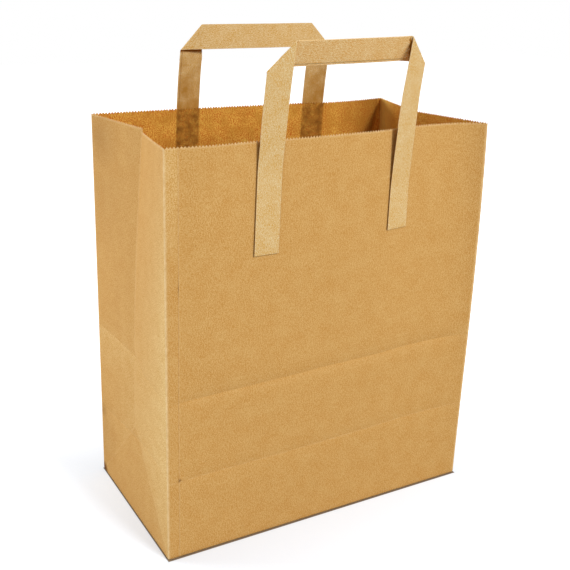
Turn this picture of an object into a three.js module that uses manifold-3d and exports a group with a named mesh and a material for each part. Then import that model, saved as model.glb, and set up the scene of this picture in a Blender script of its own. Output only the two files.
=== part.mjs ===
// Open paper carrier bag: a folded block-bottom sheet with side gussets and two flat tape handles.
// Millimetres, +Z up, +X across the bag, -Y the front. The origin is the middle of the base, on the floor.
import * as THREE from 'three';
import { mergeVertices } from 'three/addons/utils/BufferGeometryUtils.js';
import Module from 'manifold-3d';

// The opened bag and its sheet
const BAG_WIDTH = 260;
const BAG_DEPTH = 140;
const BAG_HEIGHT = 300;
const PAPER = 0.14;

// Lap seam: the front panel's free edge lies over a flange that comes round from the left gusset
const SEAM_FROM_EDGE = 9;
const LAP_WIDTH = 15;
const LAP_STEP_RUN = 0.1;

// Creases across all four sides, left by folding the bag flat
const LOW_CREASE_HEIGHT = 61;
const HIGH_CREASE_HEIGHT = 124;
const LOW_CREASE_DEPTH = 0.6;
const HIGH_CREASE_DEPTH = 1.2;
const CREASE_REACH = 12;
const CREASE_FADE = 20;

// Gusset fold: how far its middle crease stands inside the side plane
const TUCK_AT_FOOT = 3.5;
const LEFT_TUCK_AT_MOUTH = 13.5;
const RIGHT_TUCK_AT_MOUTH = 18;
const TUCK_CURVE = 2;

// Mouth: the panels bow inwards, deepest near the right-hand edge, and the cut edge is toothed
const FRONT_BOW = 11;
const FRONT_BOW_FROM_EDGE = 36;
const BACK_BOW = 7;
const BACK_BOW_FROM_EDGE = 55;
const CUT_STEP = 3;
const TOOTH_PITCH = 2.3;
const TOOTH_DEPTH = 0.8;

// Block bottom: two long flaps that overlap across the middle
const FLAP_OVERLAP = 20;
const FLAP_EDGE_INSET = 0.05;

// Handles: flat tape, each leg glued to a panel and folded at 45 degrees into the grip
const TAPE_WIDTH = 19.1;
const TAPE = 0.6;
const LEG_SPACING = 112.5;
const HANDLE_RISE = 64.4;
const LEFT_FOOT_BELOW_RIM = 79;
const RIGHT_FOOT_BELOW_RIM = 75;
const GLUE_TOP_BELOW_RIM = 47;
const GLUE_GAP = 0.3;
const FOLD_GAP = 0.6;
const LEFT_FOLD_OPENING = 5.5;
const RIGHT_FOLD_OPENING = 6.3;
const FRONT_HANDLE_OFFSET = -0.8;
const BACK_HANDLE_OFFSET = 0.5;
const FRONT_DRIFT = 3.2;
const BACK_DRIFT = 5;
const FRONT_LEAN = 12;
const BACK_LEAN = 4.5;
const LEAN_CURVE = 1.3;

// Facet lengths
const PANEL_FACET = 18;
const HEIGHT_FACET = 20;
const LEG_FACET = 12;
const FOLD_STEPS = 6;
const GUSSET_HALF_STEPS = 4;
const LEAST_FACET = 1;
const PANEL_TWIN = 5;
const HEIGHT_TWIN = 4;
const SAME_TURN = 1e-9;

const halfWidth = BAG_WIDTH / 2;
const halfDepth = BAG_DEPTH / 2;
const seamX = -halfWidth + SEAM_FROM_EDGE;
const lapEndX = seamX + LAP_WIDTH;
const rimBand = CUT_STEP + TOOTH_DEPTH + LEAST_FACET;
const baseThickness = 3 * PAPER;
const baseUnderside = 2 * PAPER;
const legEdge = (LEG_SPACING + TAPE_WIDTH) / 2;
const legEdges = [-legEdge, TAPE_WIDTH - legEdge, legEdge - TAPE_WIDTH, legEdge];
const gripTop = BAG_HEIGHT + HANDLE_RISE;

// The bow of a panel at the mouth: nothing at either corner, deepest at a given distance from the right edge
function bow(x, depth, fromEdge) {
  const peak = 1 - fromEdge / BAG_WIDTH;
  const power = peak / (1 - peak);
  const hump = (along) => along ** power * (1 - along);
  return (depth * hump((x + halfWidth) / BAG_WIDTH)) / hump(peak);
}

// Panels are ruled from the straight base edge to the bowed mouth
const frontY = (x, z) => -halfDepth + (bow(x, FRONT_BOW, FRONT_BOW_FROM_EDGE) * z) / BAG_HEIGHT;
const backY = (x, z) => halfDepth - (bow(x, BACK_BOW, BACK_BOW_FROM_EDGE) * z) / BAG_HEIGHT;

// A crease is a shallow valley across a side, fading out towards the corner edges
function creaseDepth(z, fromCorner) {
  const valley = (height, depth) => depth * Math.max(0, 1 - Math.abs(z - height) / CREASE_REACH);
  const fade = Math.min(1, fromCorner / CREASE_FADE);
  return fade * (valley(LOW_CREASE_HEIGHT, LOW_CREASE_DEPTH) + valley(HIGH_CREASE_HEIGHT, HIGH_CREASE_DEPTH));
}

// Inward fold of a gusset: a triangle leans in from the base up to half the depth, and a V deepens above it
function gussetTuck(y, z, tuckAtMouth) {
  const fromCorner = halfDepth - Math.abs(y);
  if (z < halfDepth) return (TUCK_AT_FOOT * Math.min(z, fromCorner)) / halfDepth;
  const rise = (z - halfDepth) / (BAG_HEIGHT - halfDepth);
  const deepest = TUCK_AT_FOOT + (tuckAtMouth - TUCK_AT_FOOT) * rise ** TUCK_CURVE;
  return (deepest * fromCorner) / halfDepth;
}

function gussetInset(y, z, tuckAtMouth) {
  return gussetTuck(y, z, tuckAtMouth) + creaseDepth(z, halfDepth - Math.abs(y));
}

// The four sides in order round the bag; each gives its outer face in plan at a place along it and a height
const sides = [
  {
    start: -halfWidth,
    end: halfWidth,
    inward: [0, 1],
    legOffset: FRONT_HANDLE_OFFSET,
    plan: (x, z) => [x, frontY(x, z) + creaseDepth(z, halfWidth - Math.abs(x))],
  },
  {
    start: -halfDepth,
    end: halfDepth,
    inward: [-1, 0],
    plan: (y, z) => [halfWidth - gussetInset(y, z, RIGHT_TUCK_AT_MOUTH), y],
  },
  {
    start: halfWidth,
    end: -halfWidth,
    inward: [0, -1],
    legOffset: BACK_HANDLE_OFFSET,
    plan: (x, z) => [x, backY(x, z) - creaseDepth(z, halfWidth - Math.abs(x))],
  },
  {
    start: halfDepth,
    end: -halfDepth,
    inward: [1, 0],
    plan: (y, z) => [-halfWidth + gussetInset(y, z, LEFT_TUCK_AT_MOUTH), y],
  },
];
const front = sides[0];
const leftGusset = sides[3];

// Offsets of the outer and inner face at a place, in sheets of paper; the front panel has the lap seam
function layers(side, along) {
  const { start, inward } = sides[side];
  const before = sides.at(side - 1).inward;
  const corner = Math.abs(along - start) < LAP_STEP_RUN / 2;
  const inner = corner ? [inward[0] + before[0], inward[1] + before[1]] : inward;
  if (sides[side] !== front || along > lapEndX) return { outer: [0, 0], inner };
  const outer = [0, along > seamX ? 0 : 1];
  return { outer, inner: [inner[0], inner[1] + 1] };
}

// Sorted places with near twins dropped; the earlier list wins over the later one
function places(kept, filler, apart) {
  const clear = filler.filter((place) => kept.every((other) => Math.abs(other - place) > apart));
  return [...kept, ...clear].sort((a, b) => a - b);
}

function evenSteps(from, to, facet) {
  const count = Math.max(1, Math.round(Math.abs(to - from) / facet));
  return Array.from({ length: count + 1 }, (_, step) => from + ((to - from) * step) / count);
}

// Places along each side where the walls have a vertical line of corners
function stationsAlong(side) {
  const { start, end, legOffset } = sides[side];
  const panel = side % 2 === 0;
  const ends = [Math.min(start, end), Math.max(start, end)];
  const fades = ends.map((edge) => edge - Math.sign(edge) * CREASE_FADE);
  const lap = [seamX, seamX + LAP_STEP_RUN, lapEndX, lapEndX + LAP_STEP_RUN];
  const legs = legEdges.map((edge) => edge + legOffset);
  const kept = panel ? [...ends, ...(sides[side] === front ? lap : []), ...legs] : ends;
  const filler = panel
    ? places(fades, evenSteps(...ends, PANEL_FACET), PANEL_TWIN)
    : evenSteps(...ends, halfDepth / GUSSET_HALF_STEPS);
  const sorted = places(kept, filler, PANEL_TWIN);
  return start < end ? sorted.slice(0, -1) : sorted.reverse().slice(0, -1);
}

// Places along the straight base edges: the corners and the lap step that shows on that face
function footAlong(step) {
  return (side) => [sides[side].start, ...(sides[side] === front ? [step, step + LAP_STEP_RUN] : [])];
}

// Places along each side of the toothed cut, two to a tooth
function teethAlong(side) {
  const { start, end } = sides[side];
  const length = Math.abs(end - start);
  const halves = 2 * Math.max(1, Math.round(length / TOOTH_PITCH));
  return Array.from({ length: halves }, (_, half) => start + ((end - start) * half) / halves);
}

// Height of the cut edge: the front half of the left gusset falls away to a step at its middle crease
function rimHeight(side, along, tooth) {
  const fall = sides[side] === leftGusset && along < 0 ? CUT_STEP * (1 + along / halfDepth) : 0;
  return BAG_HEIGHT - fall - (tooth % 2) * TOOTH_DEPTH;
}

// One closed row of corners round the bag, with each corner's place counted in sides
function row(face, alongSide, heightAt) {
  return sides.flatMap(({ start, end, plan }, side) =>
    alongSide(side).map((along, index) => {
      const z = heightAt(side, along, index);
      const [x, y] = plan(along, z);
      const [stepX, stepY] = layers(side, along)[face];
      return { turn: side + (along - start) / (end - start), at: [x + stepX * PAPER, y + stepY * PAPER, z] };
    }),
  );
}

// Heights of the rows between the base and the cut edge
function wallHeights() {
  const creases = [LOW_CREASE_HEIGHT, HIGH_CREASE_HEIGHT];
  const bends = [...creases, halfDepth, BAG_HEIGHT - rimBand];
  const valleys = creases.flatMap((height) => [height - CREASE_REACH, height + CREASE_REACH]);
  const triangle = evenSteps(0, halfDepth, halfDepth / GUSSET_HALF_STEPS).slice(1);
  const upper = evenSteps(HIGH_CREASE_HEIGHT + CREASE_REACH, BAG_HEIGHT - rimBand, HEIGHT_FACET);
  return [valleys, triangle, upper].reduce((kept, filler) => places(kept, filler, HEIGHT_TWIN), bends);
}

// Faces between two rows, split across the shorter way; level quads split along the gusset's folds
function stitch(triangles, lower, upper, rising) {
  const turnAt = (loop, index) => (index < loop.length ? loop[index].turn : sides.length);
  const idAt = (loop, index) => loop[index % loop.length].id;
  let low = 0;
  let high = 0;
  while (low < lower.length || high < upper.length) {
    const highReach = high < upper.length ? turnAt(upper, high + 1) - turnAt(lower, low) : Infinity;
    const lowReach = low < lower.length ? turnAt(lower, low + 1) - turnAt(upper, high) : Infinity;
    const level = Math.abs(highReach - lowReach) < SAME_TURN;
    const firstHalf = turnAt(upper, high) % 1 < 0.5;
    const takeHigh = level ? firstHalf === rising : highReach < lowReach;
    const ahead = takeHigh ? idAt(upper, high + 1) : idAt(lower, low + 1);
    triangles.push(idAt(lower, low), ahead, idAt(upper, high));
    if (takeHigh) high += 1;
    else low += 1;
  }
}

function cap(triangles, loop, facesUp) {
  const outline = loop.map(({ at }) => new THREE.Vector2(at[0], at[1]));
  for (const [a, b, c] of THREE.ShapeUtils.triangulateShape(outline, [])) {
    const order = facesUp ? [a, b, c] : [a, c, b];
    triangles.push(...order.map((corner) => loop[corner].id));
  }
}

// The sheet: rows climb the outer face, cross the cut edge and come down the inner face to the floor
function sheetGeometry() {
  const heights = wallHeights();
  const outerRows = heights.map((z) => row('outer', stationsAlong, () => z));
  const innerRows = heights.map((z) => row('inner', stationsAlong, () => z)).reverse();
  const rims = ['outer', 'inner'].map((face) => row(face, teethAlong, rimHeight));
  const underside = row('outer', footAlong(seamX), () => baseUnderside);
  const floor = row('inner', footAlong(lapEndX), () => baseThickness);
  const rows = [underside, ...outerRows, ...rims, ...innerRows, floor];
  const positions = [];
  for (const corner of rows.flat()) {
    corner.id = positions.length / 3;
    positions.push(...corner.at);
  }
  const triangles = [];
  cap(triangles, rows[0], false);
  rows.slice(1).forEach((upper, index) => stitch(triangles, rows[index], upper, index <= outerRows.length));
  cap(triangles, rows[rows.length - 1], true);
  const geometry = new THREE.BufferGeometry();
  geometry.setAttribute('position', new THREE.Float32BufferAttribute(positions, 3));
  geometry.setIndex(triangles);
  return geometry;
}

// A bottom flap: full width at its fold, with both ends folded in at 45 degrees
function flapGeometry(foldY, freeY, underside) {
  const reach = Math.abs(freeY - foldY);
  const fold = foldY - Math.sign(foldY) * FLAP_EDGE_INSET;
  const wide = halfWidth - FLAP_EDGE_INSET;
  const narrow = halfWidth - reach;
  const outline = new THREE.Shape([
    new THREE.Vector2(-wide, fold),
    new THREE.Vector2(wide, fold),
    new THREE.Vector2(narrow, freeY),
    new THREE.Vector2(-narrow, freeY),
  ]);
  const depth = (baseUnderside + baseThickness) / 2 - underside;
  return new THREE.ExtrudeGeometry(outline, { depth, bevelEnabled: false }).translate(0, 0, underside);
}

const wasm = await Module();
wasm.setup();

function solidOf(geometry) {
  const bare = geometry.clone();
  bare.deleteAttribute('normal');
  bare.deleteAttribute('uv');
  const merged = mergeVertices(bare);
  const vertProperties = merged.attributes.position.array;
  const triVerts = new Uint32Array(merged.index.array);
  return new wasm.Manifold(new wasm.Mesh({ numProp: 3, vertProperties, triVerts }));
}

function geometryOf(solid) {
  const { vertProperties, triVerts } = solid.getMesh();
  const geometry = new THREE.BufferGeometry();
  geometry.setAttribute('position', new THREE.BufferAttribute(vertProperties, 3));
  geometry.setIndex(new THREE.BufferAttribute(triVerts, 1));
  geometry.computeVertexNormals();
  return geometry;
}

// The back flap is folded in first and the front flap is glued over its edge
function bodyGeometry() {
  const backFlap = flapGeometry(halfDepth, -FLAP_OVERLAP / 2, PAPER);
  const frontFlap = flapGeometry(-halfDepth, FLAP_OVERLAP / 2, 0);
  const solid = solidOf(sheetGeometry()).add(solidOf(backFlap)).add(solidOf(frontFlap));
  return geometryOf(solid);
}

// A strip of tape through a row of straight lines drawn across it, each given by its two ends
function ribbonGeometry(lines) {
  const middles = lines.map(([a, b]) => a.clone().add(b).multiplyScalar(0.5));
  const sections = lines.map(([a, b], index) => {
    const ahead = middles[Math.min(index + 1, lines.length - 1)];
    const travel = ahead.clone().sub(middles[Math.max(index - 1, 0)]);
    const half = b.clone().sub(a).cross(travel).setLength(TAPE / 2);
    const face = [a, b].map((edge) => edge.clone().add(half));
    const reverse = [b, a].map((edge) => edge.clone().sub(half));
    return [...face, ...reverse];
  });
  const corners = sections[0].length;
  const triangles = [];
  const quad = (a, b, c, d) => triangles.push(a, b, c, a, c, d);
  for (let base = 0; base < corners * (lines.length - 1); base += corners) {
    for (let corner = 0; corner < corners; corner += 1) {
      const here = base + corner;
      const beside = base + ((corner + 1) % corners);
      quad(here, beside, beside + corners, here + corners);
    }
  }
  const firstEnd = sections[0].map((_, corner) => corner);
  const lastEnd = firstEnd.map((corner) => corner + corners * (lines.length - 1));
  quad(...firstEnd.reverse());
  quad(...lastEnd);
  const geometry = new THREE.BufferGeometry().setFromPoints(sections.flat());
  geometry.setIndex(triangles);
  geometry.computeVertexNormals();
  return geometry;
}

// Lines across one half of a handle, from the foot of the leg to the grip, in panel terms:
// place along the panel, distance out from it and height
function halfHandleLines(hand, footBelowRim, opening, leanAt) {
  const radius = (FOLD_GAP + TAPE) / 2;
  const foldRun = (Math.PI * radius) / Math.SQRT2;
  const innerX = legEdge - TAPE_WIDTH;
  const cornerZ = gripTop - TAPE_WIDTH - foldRun;
  const place = (fromMiddle, z, behind) => [hand * fromMiddle, GLUE_GAP + TAPE / 2 + leanAt(z) - behind, z];
  const lines = evenSteps(BAG_HEIGHT - footBelowRim, cornerZ - LEAST_FACET, LEG_FACET).map((z) => [
    place(legEdge, z, 0),
    place(innerX, z, 0),
  ]);
  for (const turn of evenSteps(0, Math.PI, Math.PI / FOLD_STEPS)) {
    const along = (radius * turn) / Math.SQRT2;
    const over = (radius * Math.sin(turn)) / Math.SQRT2;
    const behind = radius * (1 - Math.cos(turn));
    const corner = (fromMiddle, z) => place(fromMiddle - along + over, z + along + over, behind);
    lines.push([corner(legEdge, cornerZ), corner(innerX, cornerZ + TAPE_WIDTH)]);
  }
  const gripEnd = innerX - foldRun - LEAST_FACET;
  const middleOpening = (LEFT_FOLD_OPENING + RIGHT_FOLD_OPENING) / 2;
  for (const fromMiddle of evenSteps(gripEnd, 0, LEG_FACET).slice(0, -1)) {
    const set = THREE.MathUtils.lerp(middleOpening, opening, fromMiddle / gripEnd);
    const lowerZ = gripTop - Math.sqrt(TAPE_WIDTH ** 2 - set ** 2);
    lines.push([place(fromMiddle, lowerZ, 2 * radius + set), place(fromMiddle, gripTop, 2 * radius)]);
  }
  return lines;
}

// A handle follows its panel's surface, carried on above the mouth; outward is -1 at the front, 1 at the back
function handleGeometry(outward, offset, drift, panelY, leanAt) {
  const left = halfHandleLines(-1, LEFT_FOOT_BELOW_RIM, LEFT_FOLD_OPENING, leanAt);
  const right = halfHandleLines(1, RIGHT_FOOT_BELOW_RIM, RIGHT_FOLD_OPENING, leanAt);
  const inSpace = ([along, out, z]) => {
    const climbed = (z - BAG_HEIGHT + LEFT_FOOT_BELOW_RIM) / (HANDLE_RISE + LEFT_FOOT_BELOW_RIM);
    const x = along + offset + drift * climbed;
    return new THREE.Vector3(x, panelY(x, z) + outward * out, z);
  };
  const lines = [...left, ...right.reverse()].map((ends) => ends.map(inSpace));
  return ribbonGeometry(lines);
}

// A lean that starts at a height and grows to its full size at the top of the grip
function leanFrom(start, size) {
  return (z) => size * Math.max(0, (z - start) / (gripTop - start)) ** LEAN_CURVE;
}

// The front handle springs away from its panel above the glue; the back one leans in over the mouth
const frontLean = leanFrom(BAG_HEIGHT - GLUE_TOP_BELOW_RIM, FRONT_LEAN);
const backLean = leanFrom(BAG_HEIGHT, -BACK_LEAN);

const kraft = new THREE.MeshStandardMaterial({ color: 0xcb9d5c, roughness: 0.85, metalness: 0 });
const tape = new THREE.MeshStandardMaterial({ color: 0xdcb67c, roughness: 0.8, metalness: 0 });

function named(name, geometry, material) {
  const mesh = new THREE.Mesh(geometry, material);
  mesh.name = name;
  return mesh;
}

const bag = new THREE.Group();
bag.add(named('bag_body', bodyGeometry(), kraft));
const frontGrip = handleGeometry(-1, FRONT_HANDLE_OFFSET, FRONT_DRIFT, frontY, frontLean);
const backGrip = handleGeometry(1, BACK_HANDLE_OFFSET, BACK_DRIFT, backY, backLean);
bag.add(named('front_handle', frontGrip, tape));
bag.add(named('back_handle', backGrip, tape));

export default bag;
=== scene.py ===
# Looks of the open kraft carrier bag: its folded sheet, tape handles, light, table and camera.
import math
from collections import namedtuple

import bmesh
import bpy
from mathutils import Matrix, Vector, noise


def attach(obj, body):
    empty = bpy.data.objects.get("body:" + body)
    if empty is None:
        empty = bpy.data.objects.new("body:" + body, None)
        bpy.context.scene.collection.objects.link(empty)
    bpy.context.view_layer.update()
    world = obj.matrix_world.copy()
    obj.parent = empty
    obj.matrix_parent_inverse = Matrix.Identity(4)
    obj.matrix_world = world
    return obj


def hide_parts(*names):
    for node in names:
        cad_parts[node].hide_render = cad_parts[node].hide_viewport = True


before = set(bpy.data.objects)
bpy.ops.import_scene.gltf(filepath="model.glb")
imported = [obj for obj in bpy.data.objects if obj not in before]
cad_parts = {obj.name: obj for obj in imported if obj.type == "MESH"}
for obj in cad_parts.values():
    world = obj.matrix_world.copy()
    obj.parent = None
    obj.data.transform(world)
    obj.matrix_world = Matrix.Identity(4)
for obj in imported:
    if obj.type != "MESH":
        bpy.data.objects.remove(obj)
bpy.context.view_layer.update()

# The opened bag and its sheet, in metres
BAG_WIDTH = 0.260
BAG_DEPTH = 0.140
BAG_HEIGHT = 0.300
SHEET_THICKNESS = 0.00014
GLUE_LINE = 0.00002
LAYER = SHEET_THICKNESS + GLUE_LINE
HALF_WIDTH = BAG_WIDTH / 2
HALF_DEPTH = BAG_DEPTH / 2

# Places along the flat sheet: the free edge at the seam, the four corner folds and the hidden flange
SEAM_X = -0.121
SEAM_SLANT = 0.0011
FLANGE = 0.026
FRONT_RIGHT = HALF_WIDTH - SEAM_X
BACK_RIGHT = FRONT_RIGHT + BAG_DEPTH
BACK_LEFT = BACK_RIGHT + BAG_WIDTH
FRONT_LEFT = BACK_LEFT + BAG_DEPTH
SHEET_END = FRONT_LEFT + FLANGE
CORNERS = (FRONT_RIGHT, BACK_RIGHT, BACK_LEFT, FRONT_LEFT)
BACK_MIDDLE = (BACK_RIGHT + BACK_LEFT) / 2
FRONT_MIDDLE = -SEAM_X

# Creases left by folding the bag flat: place up the sheet, depth of the valley and its run aslant
LOW_CREASE = 0.061
HIGH_CREASE = 0.124
LOW_CREASE_DEPTH = 0.0007
HIGH_CREASE_DEPTH = 0.0012
CREASE_REACH = 0.0048
CREASE_FADE = 0.020
LOW_CREASE_SLANT = (
    (0, 0.0008), (FRONT_RIGHT, 0.0048), (BACK_RIGHT, 0.002), (BACK_LEFT, -0.001),
    (FRONT_LEFT - 0.015, 0.006), (FRONT_LEFT, 0.001), (SHEET_END, 0),
)
HIGH_CREASE_SLANT = (
    (0, -0.0014), (FRONT_MIDDLE, 0.0018), (FRONT_RIGHT, 0.0028), (BACK_RIGHT, 0.004),
    (BACK_LEFT, 0.0078), (FRONT_LEFT - HALF_DEPTH, 0.0056), (FRONT_LEFT - 0.050, 0),
    (FRONT_LEFT, -0.002), (SHEET_END, -0.001),
)

# Gusset folds: how far the middle crease stands inside the side plane, and the roll of the front half
TUCK_AT_FOOT = 0.0035
LEFT_TUCK_AT_MOUTH = 0.0135
RIGHT_TUCK_AT_MOUTH = 0.018
TUCK_CURVE = 2
GUSSET_ROLL = 0.0005
GUSSET_ROLL_RISE = 4

# Mouth: the panels bow inwards, and the toothed cut steps down at the left gusset's middle
FRONT_BOW = 0.011
FRONT_BOW_FROM_EDGE = 0.036
BACK_BOW = 0.007
BACK_BOW_FROM_EDGE = 0.055
FRONT_SWELL = 0.0022
FRONT_SWELL_X = -0.100
FRONT_SWELL_SPAN = 0.022
FRONT_SWELL_CURVE = 3
CUT_STEP = 0.003
TOOTH_PITCH = 0.0023
TOOTH_DEPTH = 0.0013
TOOTH_RAGGEDNESS = 1 / 3

# Looseness of the standing bag: its sides swell, and the stiff right-hand legs turn their panels
RIGHT_SWELL_AT_FOOT = 0.0003
RIGHT_SWELL = 0.0155
RIGHT_SWELL_CURVE = 1.5
RIGHT_SWELL_FALL = 0.8955
LEFT_SWELL = 0.0009
SIDE_SWELL_CURVE = 3
LEG_TURN_X = 0.057
LEG_TURN_SPAN = 0.022
FRONT_LEG_TURN = 0.095
BACK_LEG_TURN = 0.14
RIPPLE = 0.0006
RIPPLE_SPAN = 0.075
RIPPLE_FADE = 0.030
SeamLift = namedtuple("SeamLift", "up reach size")
SEAM_LIFTS = (
    SeamLift(up=0.207, reach=0.004, size=0.0004),
    SeamLift(up=0.0625, reach=0.0015, size=0.0006),
)
SEAM_LIFT_WIDTH = 0.005
FOLD_RADIUS = 0.0005
FOOT_RADIUS = 0.0016

# Block bottom: how far each side is folded under, and the level of each layer above the front flap
FLAP_OVERLAP = 0.020
LONG_FLAP = HALF_DEPTH + FLAP_OVERLAP / 2
END_FLAP_GAP = 0.0005
END_FLAP = HALF_DEPTH - END_FLAP_GAP
FOOT_TURN = 0.0030
BACK_FLAP_LEVEL = LAYER
FLOOR_LEVEL = 2 * LAYER
END_FLAP_LEVEL = 3 * LAYER
FLOOR_INSET = 0.0006

# Handles: flat plied tape, glued legs, 45 degree folds and the grip
TAPE_WIDTH = 0.0191
TAPE_THICKNESS = 0.0006
LEG_SPACING = 0.1125
HANDLE_RISE = 0.0644
LEFT_FOOT_BELOW_RIM = 0.079
RIGHT_FOOT_BELOW_RIM = 0.075
LEFT_GLUE_TOP_BELOW_RIM = 0.022
RIGHT_GLUE_TOP_BELOW_RIM = 0.047
GLUE_GAP = 0.0005
TAPE_FOLD_RADIUS = 0.0006
PLY_LAP = 0.0018
PLY_STEP = 0.0002
TAPE_ROUND = 0.0002
LEG_EDGE = (LEG_SPACING + TAPE_WIDTH) / 2
LEG_INNER = LEG_EDGE - TAPE_WIDTH
GRIP_TOP = BAG_HEIGHT + HANDLE_RISE
FOLD_FOOT = GRIP_TOP - TAPE_WIDTH
HANDLE_FOOT = BAG_HEIGHT - LEFT_FOOT_BELOW_RIM
HANDLE_LENGTH = GRIP_TOP - HANDLE_FOOT

# How each handle hangs: where its legs stand, how its grip lies, and how its folds open, splay and twist
FRONT_LEAN = 0.012
BACK_LEAN = 0.0045
LEAN_CURVE = 1.3
SPLAY_AT_FOLD_FOOT = 0.7
SPLAY_RISE = 0.6
STEEP_FROM = 0.3
STEEP_LEAST = -0.2
LEG_CURVE = 3
Hang = namedtuple(
    "Hang",
    "offset spread drift lift tilt splay steep left_shift "
    "left_opening right_opening left_twist right_twist",
)
FRONT_HANG = Hang(
    offset=-0.0010, spread=1.0076, drift=0.0032, lift=0.0004, tilt=0.014, splay=0.0017, steep=0,
    left_shift=0.0007, left_opening=0.0074, right_opening=0.0076, left_twist=0.01, right_twist=0.11,
)
BACK_HANG = Hang(
    offset=0.0001, spread=0.9863, drift=0.0050, lift=0, tilt=0.0095, splay=0.0005, steep=0.0026,
    left_shift=0, left_opening=0.0042, right_opening=0.0060, left_twist=0.06, right_twist=0.00,
)

# Mesh steps
ROW_STEP = 0.0042
CREASE_ROWS = (-0.006, -0.003, -0.0014, -0.0005, 0, 0.0005, 0.0014, 0.003, 0.006)
FOOT_ROWS = (0, 0.06, 0.22, 0.5, 1)
FLOOR_COLUMNS = 4
FLOOR_ROWS = 2
LEG_STEP = 0.005
GRIP_END_GAP = 0.001
FOLD_STEPS = 10
SHARP_FOLD = math.radians(38)
SAME_PLACE = 1e-6

# Kraft fibre: sizes of its clouds, grain, fibres and flecks, and what each adds to the tone
UP_THE_SHEET = math.pi / 2
ALONG_THE_TAPE = 0
CLOUD_SIZE = 0.014
GRAIN_SIZE = 0.0008
FIBRE_SIZE = 0.0010
FLECK_SIZE = 0.0014
FIBRE_STRETCH = (0.35, 1, 1)
CLOUD_SHARE = 0.6
GRAIN_SHARE = 2.9
FIBRE_SHARE = 1.2
TONE_START = -1.85
FLECK_RANGE = (0.79, 0.915)
FUZZ_GRAIN_SHARE = 0.6
FUZZ_HEIGHT = 0.0001
ROUGHNESS_GRAIN = 0.12

# Paper colours: the dark grain, pale grain and flecks of each face
Grain = namedtuple("Grain", "dark pale fleck")
KRAFT_FLECK = (0.44, 0.21, 0.05, 1)
TAPE_FLECK = (0.45, 0.27, 0.09, 1)
OUTSIDE = Grain((0.553, 0.257, 0.052, 1), (0.707, 0.433, 0.156, 1), KRAFT_FLECK)
# Paler copy of the outside: painted sheen on the gussets, and the paler seam strip
PALE_OUTSIDE = Grain((0.638, 0.339, 0.070, 1), (0.908, 0.676, 0.325, 1), KRAFT_FLECK)
# The inside's deep orange is painted light shining through the sheet
INSIDE = Grain((0.54, 0.098, 0.005, 1), (0.89, 0.558, 0.096, 1), (0.40, 0.17, 0.02, 1))
CUT_EDGE = Grain((0.66, 0.43, 0.19, 1), (0.84, 0.60, 0.32, 1), (0.5, 0.3, 0.12, 1))
TAPE_LEG = Grain((0.610, 0.294, 0.026, 1), (0.785, 0.618, 0.342, 1), TAPE_FLECK)
# The grip's back, seen on the front grip, is painted lighter than the legs' tape for light that misses
# that tilted grip; the grip's face is a little darker than the legs
GRIP_FACE = Grain((0.562, 0.264, 0.010, 1), (0.783, 0.603, 0.330, 1), TAPE_FLECK)
GRIP_BACK_LIT = Grain((0.720, 0.298, 0.012, 1), (0.980, 0.747, 0.389, 1), TAPE_FLECK)

# Colours of wear, dark marks, painted light and painted shade on the paper
WORN_AND_LIT_LINE = (0.94, 0.68, 0.35, 1)
RUBBED_TAPE = (0.88, 0.65, 0.34, 1)
DARK_MARK = (0.18, 0.065, 0.010, 1)
FOOT_SHADE = (0.24, 0.11, 0.022, 1)
INNER_BLOTCH = (0.56, 0.24, 0.028, 1)
INNER_PAINTED_LIGHT = (1.00, 0.68, 0.165, 1)
INNER_CORNER_SHADE = (0.19, 0.061, 0.0015, 1)
GLUE_AND_SHADE_THROUGH_SHEET = (0.23, 0.085, 0.008, 1)
DARK_TAPE_BACK = (0.46, 0.22, 0.038, 1)
SHADED_TAPE_SIDE = (0.21, 0.075, 0.006, 1)
FOLD_SHADE = (0.42, 0.165, 0.016, 1)
UNDER_FOLD_SHADE = (0.34, 0.115, 0.007, 1)
PLY_END_SHADE = (0.40, 0.20, 0.055, 1)

# Lines along folds and edges (worn pale lines, painted highlights, a painted light band and a painted
# shade line): half width, strength, and how far below its fold or edge each lies
LineMark = namedtuple("LineMark", "width strength below", defaults=(0,))
# The corner folds are worn pale and carry a painted highlight
CORNER_RUB_AND_HIGHLIGHT = LineMark(0.0019, 1)
MIDDLE_RUB = LineMark(0.0012, 0.24)
DIAGONAL_RUB = LineMark(0.0012, 0.12)
LOW_CREASE_RUB = LineMark(0.0008, 0.08, 0.0001)
PANEL_CREASE_RUB = LineMark(0.0008, 0.14, 0.0001)
# A painted light band just under the upper crease
HIGH_CREASE_LIGHT_BAND = LineMark(0.0042, 0.04, 0.003)
# The cut mouth is worn pale and carries a painted highlight
MOUTH_RUB_AND_HIGHLIGHT = LineMark(0.0010, 1, 0.0002)
UNDER_MOUTH_RUB_AND_HIGHLIGHT = LineMark(0.0015, 0.50, 0.0008)
# A painted highlight on the seam's cut edge
SEAM_HIGHLIGHT = LineMark(0.0010, 0.3)
TAPE_EDGE_RUB = LineMark(0.0009, 0.7)
PLY_END_LINE = LineMark(0.0007, 1)
BREAK_SIZE = 0.004
BREAK_SHARE = 1.6
BREAK_START = -0.1

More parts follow.
